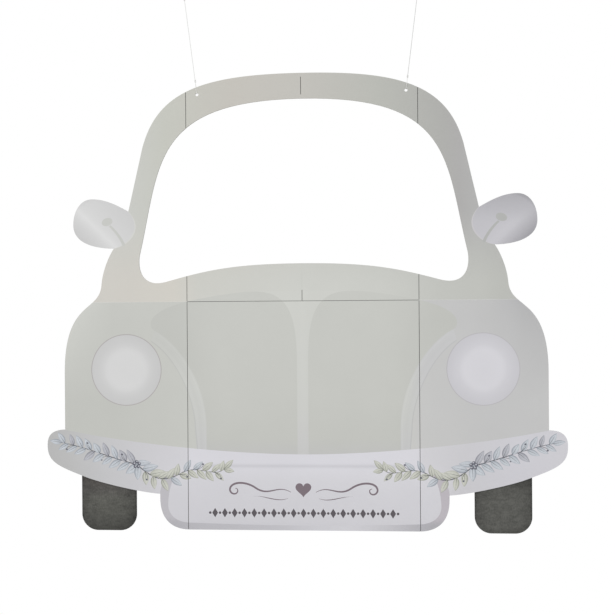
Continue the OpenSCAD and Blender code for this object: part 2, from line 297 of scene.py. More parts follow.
def paint_upper():
    """Roof, pillars and cowl: warm on the left, cooler and deeper towards the right, partly print and partly
    painted shade.
    """
    paint = Paint("upper_print")
    # Painted shade as well as print: both ramps darken to the right, and low and high differ because panels at
    # slight angles took the light differently.
    high = paint.ramp(
        paint.u, (-450, 201, 202, 197), (-330, 200, 201, 196), (-265, 196, 197, 189),
        (-130, 196, 193, 186), (0, 194, 192, 186), (150, 185, 186, 180), (272, 175, 175, 172),
        (300, 175, 174, 173), (330, 179, 179, 178), (450, 179, 179, 178),
    )
    low = paint.ramp(
        paint.u, (-450, 206, 203, 197), (-330, 207, 204, 197), (-250, 210, 207, 199),
        (-200, 205, 205, 199), (0, 206, 207, 202), (150, 204, 205, 200), (270, 195, 196, 191),
        (335, 193, 194, 189), (385, 188, 189, 184), (450, 187, 187, 185),
    )
    return printed(paint, paint.mix(paint.step(paint.v, 20, 180), low, high))


SHOULDER_DROP = 190
SHOULDER_EASE = 0.6


def paint_lower():
    """Wings and bonnet sides: shoulders with painted light on the left and painted shade on the right."""
    paint = Paint("lower_print")
    # Painted light and shade: the shoulder is lightest at the left wing's outer edge and darkest at the right
    # wing's outer edge.
    shoulder = paint.ramp(
        paint.u, (-465, 216, 217, 212), (-410, 204, 205, 200), (-370, 198, 199, 194),
        (-290, 199, 200, 195), (0, 199, 200, 195), (280, 197, 197, 197), (318, 196, 196, 196),
        (355, 193, 193, 193), (392, 187, 187, 188), (420, 179, 179, 180), (465, 174, 174, 175),
    )
    foot = paint.ramp(
        paint.u, (-465, 194, 195, 190), (-370, 194, 195, 190), (-223, 199, 200, 195), (0, 200, 201, 196),
        (200, 202, 202, 199), (223, 200, 200, 199), (355, 196, 196, 196), (465, 197, 197, 197),
    )
    down = paint.math("POWER", paint.share(paint.v, 0, -SHOULDER_DROP), SHOULDER_EASE)
    return printed(paint, paint.mix(down, shoulder, foot))


def paint_inset():
    """Sunk bonnet panels."""
    paint = Paint("inset_print")
    colour = paint.ramp(
        paint.v, (-300, 193, 193, 192), (-262, 196, 197, 192), (-180, 199, 200, 195), (20, 200, 201, 196),
    )
    tip = paint.step(paint.out, 150, 275)
    return printed(paint, paint.scaled(colour, paint.total(1.0, (-0.07, tip))))


def paint_strip():
    """Raised middle strip between the bonnet panels."""
    paint = Paint("strip_print")
    colour = paint.ramp(
        paint.v, (-295, 199, 199, 198), (-268, 201, 201, 200), (-205, 205, 206, 202), (19, 207, 208, 203),
    )
    middle = paint.ridge(paint.u, 0, 7)
    return printed(paint, paint.scaled(colour, paint.total(1.0, (0.01, middle))))


def paint_trim(name, lift):
    """Trim band beside the bonnet panels, lightest half-way down; lift is a line's tone against it."""
    paint = Paint(name)
    colour = paint.ramp(
        paint.v, (-295, 198, 198, 199), (-225, 202, 203, 200), (-150, 203, 204, 200),
        (-100, 199, 200, 196), (-60, 198, 199, 195),
    )
    cool = paint.times(paint.step(paint.u, 195, 235), 0.8)
    return printed(paint, paint.scaled(paint.mix(cool, colour, ink(200, 200, 202)), lift))


# The right tones of mirror_edge and mount are darker: partly print and partly painted shade on the right half.
PLAIN_TONES = {
    "lamp_rim": [ink(174, 169, 169), ink(185, 183, 186)],
    "mirror_edge": [ink(211, 211, 208), ink(201, 199, 202)],
    "mount": [ink(198, 199, 195), ink(179, 180, 178)],
    "plate_mauve": [ink(122, 110, 117)],
    "plate_grey": [ink(88, 83, 88)],
}


def paint_plain(name, left, right=None):
    """One printed tone all over, or one on each side of the middle, where a darker right one is partly painted
    shade.
    """
    paint = Paint(name)
    return printed(paint, paint.sided(left, right) if right else left)


LAMP_SPOT = (343, -131.2)
LAMP_R = 68.8
LAMP_RIM = (0.4, 1.1)
LAMP_SIDES = 96


def paint_lamp():
    """Frosted headlamp: a bright disc that fades into a greyer ring."""
    paint = Paint("lamp_print")
    away = paint.math("SQRT", paint.far(LAMP_SPOT, (1, 1)))
    left = paint.tones(away, NEUTRAL, (0, 213), (34, 214), (40, 212), (46, 207), (54, 203), (66, 200))
    right = paint.tones(away, LAVENDER, (0, 213), (35, 215), (40, 213), (46, 208), (54, 205), (66, 201))
    return printed(paint, paint.sided(left, right))


GROOVE_V = -316
GROOVE_HALF = 215
GROOVE_WIDTH = 3.4
PLATE_FADE = (300, 240)


def paint_bumper():
    """Bumper and plate in pale lavender, with a soft groove above the plate, and painted shade towards and under
    the bumper's ends.
    """
    paint = Paint("bumper_print")
    # Painted shade: the bar darkens towards the bumper's ends and steps down beyond the seams, where the side
    # panels are turned away from the light.
    bar = paint.ramp(
        paint.u, (-500, 183, 183, 183), (-455, 189, 189, 189), (-394, 197, 197, 199),
        (-300, 206, 205, 209), (-228, 211, 210, 215), (-218, 217, 216, 222), (218, 216, 215, 221),
        (228, 209, 208, 212), (310, 203, 202, 206), (400, 206, 205, 211), (500, 206, 205, 210),
    )
    plate = paint.tones(paint.v, LAVENDER, (-440, 203), (-420, 207), (-365, 210), (-325, 214))
    within = paint.step(paint.out, *PLATE_FADE)
    below = paint.times(within, paint.step(paint.v, GROOVE_V + 6, GROOVE_V - 30))
    right = paint.step(paint.u, -150, 200)
    reach = paint.step(paint.out, GROOVE_HALF + 10, GROOVE_HALF - 40)
    groove = paint.times(paint.ridge(paint.v, GROOVE_V, GROOVE_WIDTH), reach)
    # Painted shade under the bumper's ends.
    under = paint.times(paint.step(paint.v, -300, -340), paint.step(paint.out, 270, 300))
    shade = paint.total(1.0, (-0.125, groove), (0.025, right), (-0.02, under))
    return printed(paint, paint.scaled(paint.mix(below, bar, plate), shade))


BEVEL_FOOT = (-414, -428)


def paint_bevel():
    """Turned-down rim of the plate, with a painted highlight along its foot."""
    paint = Paint("bevel_print")
    side = paint.mix(paint.step(paint.u, -40, 120), ink(190, 188, 193), ink(189, 184, 190))
    # Painted highlight: the foot is lightest a little to the right of the middle.
    foot = paint.tones(
        paint.u, LAVENDER, (-250, 180), (-190, 187), (-100, 191), (-30, 196), (15, 204), (80, 210),
        (130, 203), (170, 195), (245, 174),
    )
    return printed(paint, paint.mix(paint.step(paint.v, *BEVEL_FOOT), side, foot))


MIRROR_GLINT = (409, 145)
GLINT_SLOPE = math.radians(44)
MIRROR_SPOT = (388, 150)
MIRROR_HALF = (62, 50)


def paint_mirror():
    """Door mirrors with a painted highlight streak across; outside it the right one turns dark with painted shade,
    most at its outer rim and top.
    """
    paint = Paint("mirror_print")
    across = paint.math("SUBTRACT", paint.out, MIRROR_GLINT[0])
    up = paint.math("SUBTRACT", paint.v, MIRROR_GLINT[1])
    off = paint.total(0.0, (-math.sin(GLINT_SLOPE), across), (math.cos(GLINT_SLOPE), up))
    left = paint.tones(
        off, NEUTRAL, (-34, 199), (-16, 207), (-8, 211), (0, 217), (5, 220), (14, 214), (26, 211),
        (70, 204),
    )
    # Painted shade on the right mirror beyond the streak.
    foot = paint.tones(
        off, LAVENDER, (-38, 152), (-29, 165), (-21, 175), (-6, 191), (0, 199), (9, 201), (22, 197),
        (44, 194),
    )
    head = paint.tones(off, LAVENDER, (-21, 174), (-4, 190), (6, 192), (70, 191))
    right = paint.mix(paint.step(paint.v, 130, 175), foot, head)
    side = paint.right()
    reach = paint.far(MIRROR_SPOT, MIRROR_HALF)
    # Painted shade along the outer rim, stronger on the right mirror, and over the right mirror's top.
    outer = paint.times(paint.step(reach, 0.85, 1.1), paint.step(paint.out, 370, 420))
    rim = paint.times(outer, paint.total(0.03, (0.1, side)))
    top = paint.times(paint.step(paint.v, 145, 215), side)
    colour = paint.mix(side, left, right)
    return printed(paint, paint.scaled(colour, paint.total(1.0, (-1.0, rim), (-0.19, top))))


def paint_wash():
    """Water colour: each leaf or berry brings its own wash, with pigment settled in the paper."""
    paint = Paint("wash_print")
    colour = paint.node("ShaderNodeVertexColor", layer_name="wash").outputs["Color"]
    pool = paint.noise(5, 4)
    settled = paint.noise(0.8, 3)
    shade = paint.total(1.0, (0.28, pool), (0.2, settled))
    rough = paint.total(0.6, (0.2, settled))
    return paint.finish(paint.scaled(colour, shade), rough, paint.noise(0.6, 3), 0.025)


def paint_paper_edge():
    """Cut edge of the printed sheet: white paper with torn fibres."""
    paint = Paint("paper_edge")
    fibre = paint.noise(0.4, 3, (1, 4, 1))
    colour = paint.mix(paint.total(0.5, (1.2, fibre)), ink(176, 173, 165), ink(214, 212, 206))
    return paint.finish(colour, paint.total(0.8, (0.2, fibre)), fibre, 0.05, 0.2)


PLY_T = 0.42
LINER_T = 0.3
LINER_FADE = 0.05
SLIT_SHADE_EDGE = (1.2, 0.7)


def on_back(paint, back_y):
    """1 on the liner at a board's back and 0 on its other faces."""
    start = back_y / MM - LINER_T
    return paint.step(paint.y, start, start + LINER_FADE)


def paint_board():
    """Grey board: a smooth pale liner on the back, pressed plies and loose fibres on the cut edges, whose dark
    tone is partly painted shade for the seams and slits.
    """
    paint = Paint("grey_board")
    fibre = paint.noise(0.9, 4, (1, 1, 0.35))
    fleck = paint.step(paint.noise(1.6, 1, (1, 1, 0.3)), 0.2, 0.26)
    cloud = paint.noise(45, 3)
    plies = paint.wave(paint.y, PLY_T)
    # Painted shade inside the slits: the cut edges there are darkened further.
    slit = paint.step(paint.out, *SLIT_SHADE_EDGE)
    core = paint.scaled(ink(92, 87, 80), paint.total(1.0, (0.1, plies), (0.5, fibre), (-0.65, slit)))
    pale = paint.scaled(ink(214, 210, 201), paint.total(1.0, (0.06, cloud), (0.12, fibre)))
    liner = paint.mix(paint.times(fleck, 0.55), pale, ink(168, 156, 138))
    colour = paint.mix(on_back(paint, BACK_Y), core, liner)
    height = paint.total(fibre, (0.25, plies))
    return paint.finish(colour, paint.total(0.78, (0.3, fibre)), height, 0.06, 0.25)


def paint_tyre():
    """Tyre board: worn rubber print with fine grain, darker along its rim and foot, with a painted shadow below
    the bumper, pale liner behind.
    """
    paint = Paint("tyre_board")
    low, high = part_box("right_tyre")
    bottom = (low.z - FOLD_Z) / MM
    top = (high.z - FOLD_Z) / MM
    middle = (low.x + high.x) / 2 / MM
    half = (high.x - low.x) / 2 / MM
    grain = paint.noise(2.6, 4, (1, 1, 0.7))
    streak = paint.noise(5, 3, (0.5, 1, 1.1))
    scuff = paint.noise(16, 5, (0.8, 1, 1.4))
    # Painted shadow: both ramps darken near the top, close under the bumper.
    left = paint.ramp(
        paint.v, (bottom, 65, 65, 61), (bottom + 15, 78, 78, 74), (bottom + 38, 88, 88, 83),
        (bottom + 60, 93, 93, 88), (top - 75, 88, 86, 83), (top - 52, 81, 77, 74),
    )
    right = paint.tones(
        paint.v, RUBBER, (bottom, 76), (bottom + 10, 88), (bottom + 24, 92), (bottom + 60, 92),
        (top - 75, 87), (top - 52, 80),
    )
    rubber = paint.sided(left, right)
    across = paint.math("ABSOLUTE", paint.away(paint.out, middle, half))
    belly = paint.times(across, across)
    rim = paint.step(across, 0.9, 1.0)
    inner = paint.step(paint.u, -middle, half - middle)
    left_inner = paint.times(inner, paint.step(paint.u, MIDDLE_FADE, -MIDDLE_FADE))
    shade = paint.total(0.9, (0.9, grain), (0.75, streak), (0.5, scuff), (-0.28, belly), (-0.2, rim),
                        (-0.12, left_inner))
    fibre = paint.noise(0.9, 4)
    liner = paint.scaled(ink(206, 201, 191), paint.total(1.0, (0.15, fibre)))
    colour = paint.mix(on_back(paint, high.y), paint.scaled(rubber, shade), liner)
    return paint.finish(colour, paint.total(0.7, (0.3, grain)), grain, 0.12, 0.3)


FOAM_CELL = 0.7
TAPE_THREAD = 0.7


def paint_pad():
    """Foam of the adhesive pads, with small open cells."""
    paint = Paint("pad_foam")
    inputs = {"Vector": paint.place, "Scale": 1 / (FOAM_CELL * MM)}
    cells = paint.node("ShaderNodeTexVoronoi", inputs).outputs["Distance"]
    colour = paint.ramp(cells, (0.0, 202, 200, 194), (0.7, 232, 231, 227))
    return paint.finish(colour, paint.total(0.75, (0.2, cells)), cells, 0.15, 0.2)


def paint_tape():
    """Woven hinge tape: threads along and across, with a dull resin sheen; its dark tone is partly painted shade
    for the seams in front of it.
    """
    paint = Paint("hinge_tape")
    weave = paint.times(paint.wave(paint.u, TAPE_THREAD), paint.wave(paint.v, TAPE_THREAD))
    slub = paint.noise(6, 3, (1, 1, 0.2))
    shade = paint.total(0.97, (0.16, weave), (0.3, slub))
    # Dark tape tone, partly painted shade seen deep in the seams.
    colour = paint.scaled(ink(58, 57, 55), shade)
    return paint.finish(colour, paint.total(0.62, (0.08, weave), (0.2, slub)), weave, 0.05, 0.3)


def paint_crease():
    """Bottom of the creased line, where the stretched paper lies in shade, painted near-black as that shade with a
    random mottle.
    """
    paint = Paint("crease_painted_shade")
    crease_mottle = paint.noise(3, 3)
    # Painted shade: near-black for the crease.
    colour = paint.mix(paint.total(0.5, (1.0, crease_mottle)), ink(30, 29, 28), ink(46, 45, 43))
    return paint.finish(colour, paint.total(0.85, (0.2, crease_mottle)), crease_mottle, 0.03, 0.1)


def paint_cord(name, left, right):
    """White braided thread with a slight silk sheen."""
    paint = Paint(name)
    strand = paint.noise(0.25, 3, (1, 1, 0.12))
    cloud = paint.noise(9, 2)
    shade = paint.total(1.0, (0.14, strand), (0.05, cloud))
    colour = paint.scaled(paint.sided(left, right), shade)
    material = paint.finish(colour, paint.total(0.6, (0.3, strand)), strand, 0.04, 0.3)
    paint.shader.inputs["Sheen Weight"].default_value = 0.15
    return material


def paint_floor():
    """Pale floor that fades into the white room at its rim."""
    paint = Paint("floor")
    cloud = paint.noise(240, 3)
    colour = paint.scaled(ink(238, 238, 237), paint.total(1.0, (0.02, cloud)))
    paint.finish(colour, paint.total(0.8, (0.1, cloud)), cloud, 0.2, 0.2)
    reach = paint.node("ShaderNodeVectorMath", {0: paint.place}, operation="LENGTH").outputs["Value"]
    paint.feed(paint.shader.inputs["Alpha"], paint.step(reach, FLOOR_R, FLOOR_R * FLOOR_FADE))
    return paint.material


# Meshes
def new_piece(name, verts, faces, materials, picks=None):
    mesh = bpy.data.meshes.new(name)
    mesh.from_pydata(verts, [], faces)
    for material in materials:
        mesh.materials.append(material)
    if picks:
        mesh.polygons.foreach_set("material_index", picks)
    mesh.update()
    return placed(name, mesh)


def stand_for(piece, node):
    """The piece takes the place of its CAD node on the node's body."""
    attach(piece, body_of_node[node])
    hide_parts(node)


def around(loop):
    """Each point of a closed loop with the one after it."""
    return zip(loop, loop[1:] + loop[:1])


def rim_of(cells):
    """Edges that only one cell has."""
    edges = {edge for cell in cells for edge in around(cell)}
    return [(a, b) for a, b in sorted(edges) if (b, a) not in edges]


def thickened(front, count):
    """Faces of a closed sheet: its front, a back whose points come count later, and the walls between."""
    back = [[i + count for i in reversed(cell)] for cell in front]
    return front + back + [[b, a, a + count, b + count] for a, b in rim_of(front)]


def slab(rows, columns, spot):
    """Closed slab over a grid; spot(row, column, side) is a point on its front, side 0, or back, side 1."""
    verts = [spot(row, column, side) for side in (0, 1) for row in rows for column in columns]
    wide, count = len(columns), len(rows) * len(columns)
    starts = [i for i in range(count - wide) if (i + 1) % wide]
    return verts, thickened([[i, i + 1, i + wide + 1, i + wide] for i in starts], count)


def spread(low, high, count):
    """count values from low to high."""
    return [low + (high - low) * i / (count - 1) for i in range(count)]


def turns(count):
    """count even angles round a circle."""
    return [2 * math.pi * i / count for i in range(count)]


def pointing(angle):
    return Vector((math.cos(angle), math.sin(angle)))


def make_floor():
    rim = [pointing(angle).to_3d() * FLOOR_R for angle in turns(FLOOR_SIDES)]
    floor = new_piece("floor", rim, [range(FLOOR_SIDES)], [paint_floor()])
    floor.location.z = FLOOR_Z


# Cords: the route of part.scad, with s along a cord from its hole, in millimetres
HOLE = Vector((0.201, 0, -0.206))
CORD_TOP = Vector((0.227, 0, 0))
CORD_D = 1.0
KNOT_S = (23.5, 182.634)
KNOT_SIZE = (3.2, 6)
KNOT_TUCK = 0.1
LOOP_H = 20
LOOP_R = 5
LOOP_FULLNESS = 1.3
LOOP_STEPS = 48
HITCH = [(24.5, -0.5), (23.5, -0.5), (15.5, -2.3), (7.25, -2.3), (3, -2.3), (2.2, -1.8), (1.9, -0.75)]
THREAD_STEP = 0.4
PLIES = 3
PLY_TURN = 3.6
PLY_DEPTH = 0.2
RING = 15
WRAP_TURNS = 4.6
WRAP_STEPS = 30
# Painted shade: the right thread is a darker copy of the left. Painted light: knots, hitch loops and hanging loops
# are whiter than the thread, to offset their own shade.
THREAD_LIT_AND_SHADED_TONES = (ink(217, 217, 215), ink(194, 194, 193))
KNOT_PAINTED_LIGHT_TONES = (ink(240, 240, 238), ink(236, 236, 234))


def on_cord(s, across=0.0, y=0.0):
    """Point beside the right cord: s along it, across to the right and y to the back."""
    ahead = (CORD_TOP - HOLE).normalized()
    aside = Vector((ahead.z, 0, -ahead.x))
    return HOLE + (ahead * s + aside * across) * MM + Vector((0, y * MM, 0))


def smoothed(path):
    """Points along a smooth curve through the given ones, about a thread step apart."""
    curve = []
    for i in range(len(path) - 1):
        before, after = path[max(i - 1, 0)], path[min(i + 2, len(path) - 1)]
        a, b = path[i], path[i + 1]
        count = max(1, round((b - a).length / MM / THREAD_STEP))
        for k in range(count):
            t = k / count
            pull = (b - before) * (t ** 3 - 2 * t * t + t) + (after - a) * (t ** 3 - t * t)
            curve.append(a + (b - a) * (3 * t * t - 2 * t ** 3) + pull / 2)
    return curve + [path[-1]]


def twisted(path):
    """A cord of twisted plies along a path, closed at both ends."""
    verts, faces = [], []
    normal = (path[1] - path[0]).orthogonal().normalized()
    run = 0.0
    for i, spot in enumerate(path):
        ahead = (path[min(i + 1, len(path) - 1)] - path[max(i - 1, 0)]).normalized()
        normal = (normal - ahead * normal.dot(ahead)).normalized()
        aside = ahead.cross(normal)
        run += (spot - path[max(i - 1, 0)]).length / MM
        for angle in turns(RING):
            dip = PLY_DEPTH * (1 + math.cos(PLIES * (angle - 2 * math.pi * run / PLY_TURN))) / 2
            reach = CORD_D / 2 * MM * (1 - dip)
            verts.append(spot + (normal * math.cos(angle) + aside * math.sin(angle)) * reach)
    for start in range(0, len(verts) - RING, RING):
        ring = list(range(start, start + RING))
        faces += [[a, b, b + RING, a + RING] for a, b in around(ring)]
    faces += [range(RING)[::-1], range(len(verts) - RING, len(verts))]
    return verts, faces


def wraps(start):
    """Path of a knot: the cord wound round itself, its ends tucked in."""
    reach = (KNOT_SIZE[0] - CORD_D) / 2
    length = KNOT_SIZE[1] - CORD_D
    path = [on_cord(start + CORD_D / 2, KNOT_TUCK)]
    for i in range(round(WRAP_TURNS * WRAP_STEPS) + 1):
        angle = 2 * math.pi * i / WRAP_STEPS
        s = start + CORD_D / 2 + length * i / (WRAP_TURNS * WRAP_STEPS)
        path.append(on_cord(s, reach * math.cos(angle), reach * math.sin(angle)))
    return path + [on_cord(start + KNOT_SIZE[1] - CORD_D / 2, KNOT_TUCK)]


def loop_path():
    """Drop shape of the hanging loop."""
    foot = KNOT_S[1] + KNOT_SIZE[1]
    path = []
    for angle in spread(0, 2 * math.pi, LOOP_STEPS + 1):
        rise = (1 - math.cos(angle)) / 2
        wide = LOOP_FULLNESS * LOOP_R * math.sin(angle) * math.sqrt(rise)
        path.append(on_cord(foot - CORD_D / 2 + LOOP_H * rise, wide + CORD_D / 2 * math.cos(angle / 2)))
    return path


def hitch_path():
    """Down the front, through the hole and up the back to the knot."""
    front = [on_cord(s, 0, y) for s, y in HITCH]
    back = [on_cord(s, 0, -y) for s, y in reversed(HITCH)]
    return smoothed(front + back)


def flipped(path, side):
    """A path on the right, or mirrored to the left."""
    return [p * Vector((side, 1, 1)) for p in path]


def cord_piece(name, node, side, paths, material):
    """One piece of cord over all its paths, in place of its CAD node."""
    verts, faces = [], []
    for path in paths:
        more, cells = twisted(flipped(path, side))
        faces += [[i + len(verts) for i in cell] for cell in cells]
        verts += more
    piece = new_piece(name, verts, faces, [material])
    piece.data.shade_smooth()
    stand_for(piece, node)
    return piece


def make_cords():
    material = paint_cord("cord_thread", *THREAD_LIT_AND_SHADED_TONES)
    # Knots, hitch loops and hanging loops get the whiter tones of painted light.
    painted_light_knot = paint_cord("cord_knot_painted_light", *KNOT_PAINTED_LIGHT_TONES)
    start, end = KNOT_S[0], KNOT_S[1] + KNOT_SIZE[1]
    run = [on_cord(s) for s in spread(start, end, round((end - start) / THREAD_STEP))]
    hitch_paths = [hitch_path(), wraps(KNOT_S[0])]
    loop_paths = [loop_path(), wraps(KNOT_S[1])]
    for name, side in SIDES.items():
        path = flipped(run, side)
        hitch = cord_piece(name + "_hitch_loop", name + "_hitch", side, hitch_paths, painted_light_knot)
        hang = cord_piece(name + "_hanging_loop", name + "_hang_loop", side, loop_paths, painted_light_knot)
        thread = cord_piece(name + "_thread", name + "_cord", side, [run], material)
        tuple(path[0])


# Hinges
TAPE_SEAMS = {"roof": "pillar_tapes", "cowl": "pillar_tapes", "bonnet": "wing_tape"}
SEAM_GAP = 1.0
CREASE_GAP = 0.78
CREASE_T = 0.1
CREASE_COLUMNS = 60
TAPE_REACH = 0.03
TAPE_ROWS = 25
FOLD_POINTS = 9


def leaf_span(node, x, low, high):
    """Lowest and highest z of a CAD tape leaf at x, from its edges that lie between low and high."""
    mesh = frame["nodes"][node].data
    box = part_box(node)
    x = min(max(x, box[0].x), box[1].x)
    heights = []
    for edge in mesh.edges:
        a, b = sorted((mesh.vertices[i].co for i in edge.vertices), key=lambda corner: corner.x)
        if a.x - TOUCH <= x <= b.x + TOUCH and low < min(a.z, b.z) and max(a.z, b.z) < high:
            share = min(max((x - a.x) / (b.x - a.x), 0.0), 1.0) if b.x - a.x > TOUCH else 0.0
            heights.append(a.z + (b.z - a.z) * share)
    return min(heights), max(heights)


def make_tapes():
    """Each hinge tape is one strip across its seam, where the real tape bends; its ends are shaped to the tape
    leaves on the boards.
    """
    material = paint_tape()
    for name, side in SIDES.items():
        for middle, outer in TAPE_SEAMS.items():
            held = f"{name}_{middle}_tape"
            swung = f"{name}_{outer}"
            low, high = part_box(held)
            half = max(abs(x / MM - side * SEAM) for x in (low.x, high.x))
            bends = [-half, -half / 2, *spread(-SEAM_GAP / 2, SEAM_GAP / 2, FOLD_POINTS), half / 2, half]
            spans = {}
            for u in bends:
                node = held if u * side <= 0 else swung
                spans[u] = leaf_span(node, (side * SEAM + u) * MM, low.z - TAPE_REACH, high.z + TAPE_REACH)
            faces_y = (low.y, high.y)

            def spot(share, u, back):
                foot, top = spans[u]
                return Vector(((side * SEAM + u) * MM, faces_y[back], foot + (top - foot) * share))

            verts, faces = slab(spread(0, 1, TAPE_ROWS), bends, spot)
            tape = new_piece(f"{name}_{middle}_hinge_tape", verts, faces, [material])
            edge = SEAM_GAP / 2 * side
            at(side * SEAM - edge, 0, BACK_Y)
            at(side * SEAM + edge, 0, BACK_Y)
            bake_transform(tape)
            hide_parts(held, swung)


def make_crease():
    """The paper that is left in the crease, painted near-black as its shade; on the real frame it holds the
    bonnet.
    """
    edge = CREASE_GAP / 2
    end = SEAM - SEAM_GAP / 2
    rows = spread(-edge, edge, FOLD_POINTS)
    columns = spread(-end, end, CREASE_COLUMNS)
    faces_y = (CORE_Y, CORE_Y + CREASE_T * MM)
    verts, faces = slab(rows, columns, lambda v, u, back: at(u, v, faces_y[back]))
    strip = new_piece("bonnet_crease_strip", verts, faces, [paint_crease()])
    at(0, edge, CORE_Y)
    at(0, -edge, CORE_Y)
    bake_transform(strip)


# Outlines of the print, in drawing millimetres
Region = collections.namedtuple("Region", "outline paint wash", defaults=[None])


def points(*spots):
    return [Vector(spot) for spot in spots]


def bend(a, pull_a, pull_b, b, steps=20):
    """Curve from a to b; the pulls are its handles."""
    a, b = Vector(a), Vector(b)
    p, q = a + Vector(pull_a), b + Vector(pull_b)
    curve = []
    for t in spread(0, 1, steps + 1):
        s = 1 - t
        curve.append(a * s ** 3 + p * 3 * s * s * t + q * 3 * s * t * t + b * t ** 3)
    return curve


def chain(start, *curves):
    """Curves joined end to end; each gives its two handles, its end and perhaps its steps."""
    path = points(start)
    for curve in curves:
        path += bend(path[-1], *curve)[1:]
    return path


def oval(centre, wide, tall, tilt=0.0, steps=48):
    lean = Matrix.Rotation(tilt, 2)
    middle = Vector(centre)
    return [middle + lean @ (pointing(angle) * Vector((wide, tall))) for angle in turns(steps)]


def along(path, gap):
    """Points every gap millimetres on a path, each with its heading."""
    spots, left = [], 0.0
    for a, b in zip(path, path[1:]):
        length = (b - a).length
        while left <= length:
            spots.append((a.lerp(b, left / length), (b - a).normalized()))
            left += gap
        left -= length
    return spots


def stroke(path, width):
    """Outline of a line with round-cut ends; width is a number or a function of the share of its length."""
    sides = ([], [])
    last = len(path) - 1
    for i, spot in enumerate(path):
        ahead = (path[min(i + 1, last)] - path[max(i - 1, 0)]).normalized()
        aside = ahead.orthogonal()
        half = (width(i / last) if callable(width) else width) / 2
        sides[0].append(spot - aside * half)
        sides[1].append(spot + aside * half)
    return sides[0] + sides[1][::-1]


def area(outline):
    return sum(a[0] * b[1] - b[0] * a[1] for a, b in around(outline)) / 2


def turned(outline):
    """The outline, counter-clockwise."""
    return outline if area(outline) > 0 else outline[::-1]


def mirrored(region):
    """The region's mirror image on the left."""
    wash = region.wash
    flip = wash and (lambda u, v: wash(-u, v))
    return Region([Vector((-u, v)) for u, v in region.outline], region.paint, flip)


def on_both_sides(regions):
    return regions + [mirrored(region) for region in regions]


BUMPER_LOW = -520
BUMPER_OUT = 530
STRIP_HALF = 10.6
PANEL_FOOT = -300
INSET_IN = 186.5
BAND_FOOT = 203
TRIM_LIFTS = {"trim": 1.0, "trim_dark": 0.91, "trim_mid": 0.985, "trim_light": 1.025}
# Place across the trim band, width and paint of each line on it
TRIM_LINES = [(0.0, 2.2, "trim_dark"), (0.45, 6.0, "trim_mid"), (0.85, 2.6, "trim_light")]


def inset_side():
    """Lower side of a bonnet panel, from its tip to the bumper."""
    return bend((276, -62), (-44, -30), (2, 80), (INSET_IN, -240)) + points((INSET_IN, PANEL_FOOT))


def band_side():
    """Outer side of the trim band that follows a bonnet panel."""
    return bend((294, -76), (-49, -30), (1, 58), (208, -245)) + points((BAND_FOOT, PANEL_FOOT))


def bonnet_art():
    """Middle strip, sunk panels and the trim bands beside them."""
    strip = points((-95, 19), (-14, -120), (-14, PANEL_FOOT), (14, PANEL_FOOT), (14, -120), (95, 19))
    band = band_side() + points((180, PANEL_FOOT), (180, -160), (235, -60), (285, -50))
    top = chain(
        (STRIP_HALF, -125),
        ((0, 81), (-75, 0.6), (92, 18.6)),
        ((40, 0), (-30, 7.5), (232, -2)),
        ((26, -6.5), (0.5, 22), (294.5, -44)),
        ((-0.5, -10), (10, 6), (276, -62)),
    )
    inset = points((STRIP_HALF, PANEL_FOOT)) + top[:-1] + inset_side()
    side = [Region(band, "trim")]
    for share, width, paint in TRIM_LINES:
        path = [a.lerp(b, share) for a, b in zip(band_side(), inset_side())]
        side.append(Region(stroke(path, width), paint))
    side.append(Region(inset, "inset"))
    return [Region(strip, "strip"), *on_both_sides(side)]


def lamp_art():
    """A fine rim with the lamp's disc inside it."""
    sizes = {"lamp_rim": LAMP_R + LAMP_RIM[0], "lamp": LAMP_R - LAMP_RIM[1]}
    lamp = [Region(oval(LAMP_SPOT, size, size, steps=LAMP_SIDES), paint) for paint, size in sizes.items()]
    return on_both_sides(lamp)


def bumper_art():
    """Bumper with the plate's face, and the turned-down rim round the plate."""
    top = bend((0, -293.5), (130, 0), (-140, -30), (470, -246)) + points((BUMPER_OUT, -235))
    whole = [Vector((-u, v)) for u, v in reversed(top[1:])] + top
    whole += points((BUMPER_OUT, BUMPER_LOW), (-BUMPER_OUT, BUMPER_LOW))
    outer = bend((238, -322.5), (22, -4), (1, 22), (278, -372))
    outer += points((300, -376), (300, BUMPER_LOW), (0, BUMPER_LOW))
    inner = chain(
        (0, -429.5),
        ((90, 0), (-30, -1), (222, -425.5), 8),
        ((26, 1), (1.5, -22), (262.5, -388)),
        ((-1, 24), (16, -11), (238, -323.5)),
    )
    return [Region(whole, "bumper"), *on_both_sides([Region(outer + inner, "bevel")])]


MIRROR_HEEL = (366, 104)
MIRROR_ROOT = (337, 175)


def mirror_art():
    """Mirror face with a light edge along the pillar, its mount and curved stalk."""
    edge = chain(MIRROR_ROOT, ((-17, -18), (-14, 16), (334, 122), 14), ((8, -9), (-12, 2), MIRROR_HEEL, 10))
    face = edge + points((400, 90), (480, 70), (480, 240), (345, 215))
    stalk = bend((374, 148), (-11, -9), (3, 11), (346, 109), 12)
    side = [
        Region(face, "mirror"),
        Region(stroke(edge, lambda share: 0.5 + 2.2 * math.sin(math.pi * share)), "mirror_edge"),
        Region(stroke(stalk, lambda share: 4.0 + 2.0 * share), "mount"),
        Region(oval((379, 155.5), 10.8, 7.6, math.radians(-18)), "mount"),
    ]
    return on_both_sides(side)


